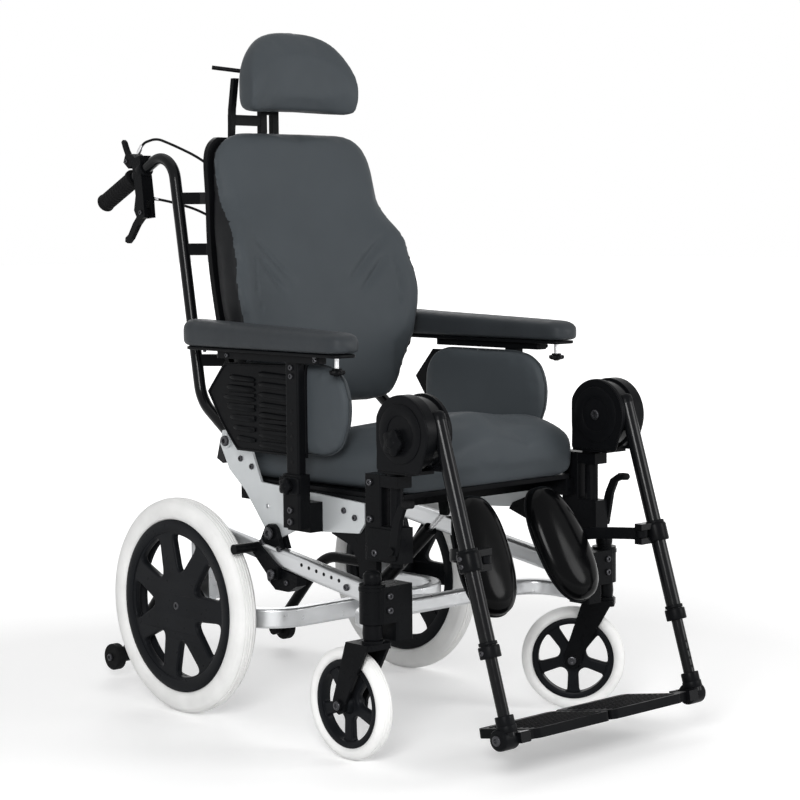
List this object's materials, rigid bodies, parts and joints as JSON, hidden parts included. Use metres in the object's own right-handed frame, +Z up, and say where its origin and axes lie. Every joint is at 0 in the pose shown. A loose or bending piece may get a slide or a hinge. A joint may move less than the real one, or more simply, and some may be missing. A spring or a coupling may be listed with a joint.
{
  "type": "tilt in space wheelchair",
  "caption": "Attendant wheelchair whose seat tilts on a fixed base, with reclining back, headrest, padded armrests and swing-away elevating legrests.",
  "frame": {"origin": "on the floor under the middle of the bounding box", "axes": "+X towards the sitter's left, +Y towards the attendant behind the chair, +Z up; the sitter faces -Y"},
  "size_m": [0.6374, 1.1502, 1.266],
  "materials": {
    "frame_silver": "satin",
    "black_coat": "satin powder coat",
    "plate_grey": "satin metallic",
    "black_plastic": "fine grain",
    "dark_rim": "satin",
    "grey_tyre": "matte",
    "black_rubber": "matte",
    "upholstery": "woven",
    "gloss_cover": "glossy",
    "bright_steel": "satin",
    "arm_cover": "soft foam skin"
  },
  "bodies": {
    "base_frame": {"side_rails": "frame_silver", "base_cross_tubes": "frame_silver", "caster_housings": "frame_silver", "axle_carriers": "frame_silver", "antitip_tubes": "frame_silver", "base_brackets": "black_coat"},
    "seat_frame": {"side_plates": "plate_grey", "seat_tube_frame": "black_coat", "seat_pan": "black_plastic", "seat_cushion": "upholstery", "legrest_receivers": "black_coat", "armrest_sockets": "black_plastic"},
    "strut_cylinder": {"tilt_strut_cylinder": "black_coat"},
    "strut_rod": {"tilt_strut_rod": "bright_steel"},
    "backrest": {"push_tubes": "black_coat", "back_shell": "black_plastic", "back_cushion": "upholstery", "shell_brackets": "black_coat", "hand_grips": "black_rubber", "lever_housings": "black_plastic", "release_cables": "black_rubber"},
    "headrest_stem": {"headrest_post": "black_coat"},
    "headrest": {"headrest_bracket": "black_coat", "headrest_pad": "upholstery"},
    "rear_wheel_left": {"rear_tyre_left": "grey_tyre", "rear_rim_left": "dark_rim"},
    "caster_swivel_left": {"caster_fork_left": "black_coat"},
    "caster_wheel_left": {"caster_tyre_left": "grey_tyre", "caster_rim_left": "dark_rim"},
    "antitip_roller_left": {"antitip_wheel_left": "black_plastic"},
    "wheel_lock_arm_left": {"wheel_lock_left": "black_coat"},
    "hand_lever_arm_left": {"hand_lever_left": "black_plastic"},
    "trigger_arm_left": {"trigger_left": "black_plastic"},
    "armrest_left": {"armrest_frame_left": "black_plastic", "hip_pad_left": "upholstery"},
    "arm_top_left": {"arm_pad_left": "arm_cover"},
    "legrest_left": {"legrest_hanger_left": "black_coat"},
    "lower_leg_left": {"leg_tube_left": "black_coat"},
    "calf_support_left": {"calf_pad_left": "gloss_cover"},
    "foot_slider_left": {"foot_tube_left": "black_coat"},
    "foot_flap_left": {"footplate_left": "black_plastic"},
    "legrest_release_left": {"release_lever_left": "black_plastic"},
    "rear_wheel_right": {"rear_tyre_right": "grey_tyre", "rear_rim_right": "dark_rim"},
    "caster_swivel_right": {"caster_fork_right": "black_coat"},
    "caster_wheel_right": {"caster_tyre_right": "grey_tyre", "caster_rim_right": "dark_rim"},
    "antitip_roller_right": {"antitip_wheel_right": "black_plastic"},
    "wheel_lock_arm_right": {"wheel_lock_right": "black_coat"},
    "hand_lever_arm_right": {"hand_lever_right": "black_plastic"},
    "trigger_arm_right": {"trigger_right": "black_plastic"},
    "armrest_right": {"armrest_frame_right": "black_plastic", "hip_pad_right": "upholstery"},
    "arm_top_right": {"arm_pad_right": "arm_cover"},
    "legrest_right": {"legrest_hanger_right": "black_coat"},
    "lower_leg_right": {"leg_tube_right": "black_coat"},
    "calf_support_right": {"calf_pad_right": "gloss_cover"},
    "foot_slider_right": {"foot_tube_right": "black_coat"},
    "foot_flap_right": {"footplate_right": "black_plastic"},
    "legrest_release_right": {"release_lever_right": "black_plastic"}
  },
  "joints": [
    {"name": "seat_tilt", "type": "hinge", "parent": "base_frame", "child": "seat_frame", "pos_m": [0, 0.028, 0.352], "axis": [-1, 0, 0], "range_deg": [0, 25]},
    {"name": "strut_pivot", "type": "hinge", "parent": "base_frame", "child": "strut_cylinder", "pos_m": [0, 0.004, 0.232], "axis": [-1, 0, 0], "range_deg": [0, 18.04]},
    {"name": "strut_extension", "type": "slide", "parent": "strut_cylinder", "child": "strut_rod", "axis": [0, -0.7546, 0.6562], "range_m": [0, 0.042]},
    {"name": "back_recline", "type": "hinge", "parent": "seat_frame", "child": "backrest", "pos_m": [0, 0.16, 0.508], "axis": [-1, 0, 0], "range_deg": [0, 30]},
    {"name": "headrest_height", "type": "slide", "parent": "backrest", "child": "headrest_stem", "axis": [0, 0, 1], "range_m": [0, 0.08]},
    {"name": "headrest_angle", "type": "hinge", "parent": "headrest_stem", "child": "headrest", "pos_m": [0, 0.292, 1.172], "axis": [1, 0, 0], "range_deg": [-20, 20]},
    {"name": "rear_wheel_spin_left", "type": "hinge", "parent": "base_frame", "child": "rear_wheel_left", "pos_m": [0.278, 0.24, 0.2], "axis": [1, 0, 0], "continuous": true},
    {"name": "caster_swivel_joint_left", "type": "hinge", "parent": "base_frame", "child": "caster_swivel_left", "pos_m": [0.287, -0.2955, 0.24], "axis": [0, 0, 1], "continuous": true},
    {"name": "caster_spin_left", "type": "hinge", "parent": "caster_swivel_left", "child": "caster_wheel_left", "pos_m": [0.25191, -0.25058, 0.096], "axis": [0.788, 0.6157, 0], "continuous": true},
    {"name": "antitip_spin_left", "type": "hinge", "parent": "base_frame", "child": "antitip_roller_left", "pos_m": [0.218, 0.55, 0.048], "axis": [1, 0, 0], "continuous": true},
    {"name": "wheel_lock_pivot_left", "type": "hinge", "parent": "base_frame", "child": "wheel_lock_arm_left", "pos_m": [0.247, 0.008, 0.282], "axis": [-1, 0, 0], "range_deg": [0, 7]},
    {"name": "hand_lever_pivot_left", "type": "hinge", "parent": "backrest", "child": "hand_lever_arm_left", "pos_m": [0.214, 0.424, 0.926], "axis": [1, 0, 0], "range_deg": [0, 15], "stiffness_Nm_per_rad": 0.8, "springref_deg": -17.19},
    {"name": "trigger_pivot_left", "type": "hinge", "parent": "backrest", "child": "trigger_arm_left", "pos_m": [0.214, 0.468, 1.024], "axis": [-1, 0, 0], "range_deg": [0, 15], "stiffness_Nm_per_rad": 0.5, "springref_deg": -17.19},
    {"name": "armrest_height_left", "type": "slide", "parent": "seat_frame", "child": "armrest_left", "axis": [0, 0, 1], "range_m": [0, 0.06]},
    {"name": "arm_pad_depth_left", "type": "slide", "parent": "armrest_left", "child": "arm_top_left", "axis": [0, 1, 0], "range_m": [-0.03, 0.03]},
    {"name": "legrest_swing_left", "type": "hinge", "parent": "seat_frame", "child": "legrest_left", "pos_m": [0.241, -0.306, 0.43], "axis": [0, 0, 1], "range_deg": [0, 90]},
    {"name": "leg_elevation_left", "type": "hinge", "parent": "legrest_left", "child": "lower_leg_left", "pos_m": [0.231, -0.345, 0.557], "axis": [-1, 0, 0], "range_deg": [0, 60]},
    {"name": "calf_swing_left", "type": "hinge", "parent": "lower_leg_left", "child": "calf_support_left", "pos_m": [0.194, -0.466, 0.356], "axis": [0, 0, 1], "range_deg": [-12, 12]},
    {"name": "foot_length_left", "type": "slide", "parent": "lower_leg_left", "child": "foot_slider_left", "axis": [0, -0.3013, -0.9535], "range_m": [-0.035, 0.035]},
    {"name": "footplate_flip_left", "type": "hinge", "parent": "foot_slider_left", "child": "foot_flap_left", "pos_m": [0.204, -0.549, 0.08], "axis": [0, 0.9848, -0.1736], "range_deg": [0, 88]},
    {"name": "legrest_release_pivot_left", "type": "hinge", "parent": "seat_frame", "child": "legrest_release_left", "pos_m": [0.262, -0.32, 0.36], "axis": [1, 0, 0], "range_deg": [0, 20], "stiffness_Nm_per_rad": 0.8, "springref_deg": -17.19},
    {"name": "rear_wheel_spin_right", "type": "hinge", "parent": "base_frame", "child": "rear_wheel_right", "pos_m": [-0.278, 0.24, 0.2], "axis": [1, 0, 0], "continuous": true},
    {"name": "caster_swivel_joint_right", "type": "hinge", "parent": "base_frame", "child": "caster_swivel_right", "pos_m": [-0.287, -0.2955, 0.24], "axis": [0, 0, 1], "continuous": true},
    {"name": "caster_spin_right", "type": "hinge", "parent": "caster_swivel_right", "child": "caster_wheel_right", "pos_m": [-0.287, -0.2385, 0.096], "axis": [1, 0, 0], "continuous": true},
    {"name": "antitip_spin_right", "type": "hinge", "parent": "base_frame", "child": "antitip_roller_right", "pos_m": [-0.218, 0.55, 0.048], "axis": [1, 0, 0], "continuous": true},
    {"name": "wheel_lock_pivot_right", "type": "hinge", "parent": "base_frame", "child": "wheel_lock_arm_right", "pos_m": [-0.247, 0.008, 0.282], "axis": [-1, 0, 0], "range_deg": [0, 7]},
    {"name": "hand_lever_pivot_right", "type": "hinge", "parent": "backrest", "child": "hand_lever_arm_right", "pos_m": [-0.214, 0.424, 0.926], "axis": [1, 0, 0], "range_deg": [0, 15], "stiffness_Nm_per_rad": 0.8, "springref_deg": -17.19},
    {"name": "trigger_pivot_right", "type": "hinge", "parent": "backrest", "child": "trigger_arm_right", "pos_m": [-0.214, 0.468, 1.024], "axis": [-1, 0, 0], "range_deg": [0, 15], "stiffness_Nm_per_rad": 0.5, "springref_deg": -17.19},
    {"name": "armrest_height_right", "type": "slide", "parent": "seat_frame", "child": "armrest_right", "axis": [0, 0, 1], "range_m": [0, 0.06]},
    {"name": "arm_pad_depth_right", "type": "slide", "parent": "armrest_right", "child": "arm_top_right", "axis": [0, 1, 0], "range_m": [-0.03, 0.03]},
    {"name": "legrest_swing_right", "type": "hinge", "parent": "seat_frame", "child": "legrest_right", "pos_m": [-0.241, -0.306, 0.43], "axis": [0, 0, -1], "range_deg": [0, 90]},
    {"name": "leg_elevation_right", "type": "hinge", "parent": "legrest_right", "child": "lower_leg_right", "pos_m": [-0.231, -0.345, 0.557], "axis": [-1, 0, 0], "range_deg": [0, 60]},
    {"name": "calf_swing_right", "type": "hinge", "parent": "lower_leg_right", "child": "calf_support_right", "pos_m": [-0.194, -0.466, 0.356], "axis": [0, 0, -1], "range_deg": [-12, 12]},
    {"name": "foot_length_right", "type": "slide", "parent": "lower_leg_right", "child": "foot_slider_right", "axis": [0, -0.3013, -0.9535], "range_m": [-0.035, 0.035]},
    {"name": "footplate_flip_right", "type": "hinge", "parent": "foot_slider_right", "child": "foot_flap_right", "pos_m": [-0.204, -0.549, 0.08], "axis": [0, -0.9848, 0.1736], "range_deg": [0, 88]},
    {"name": "legrest_release_pivot_right", "type": "hinge", "parent": "seat_frame", "child": "legrest_release_right", "pos_m": [-0.262, -0.32, 0.36], "axis": [1, 0, 0], "range_deg": [0, 20], "stiffness_Nm_per_rad": 0.8, "springref_deg": -17.19}
  ],
  "couplings": [
    {"joint": "strut_pivot", "follows": "seat_tilt", "ratio": 0.7134},
    {"joint": "strut_extension", "follows": "seat_tilt", "m_per_rad": 0.09505}
  ]
}
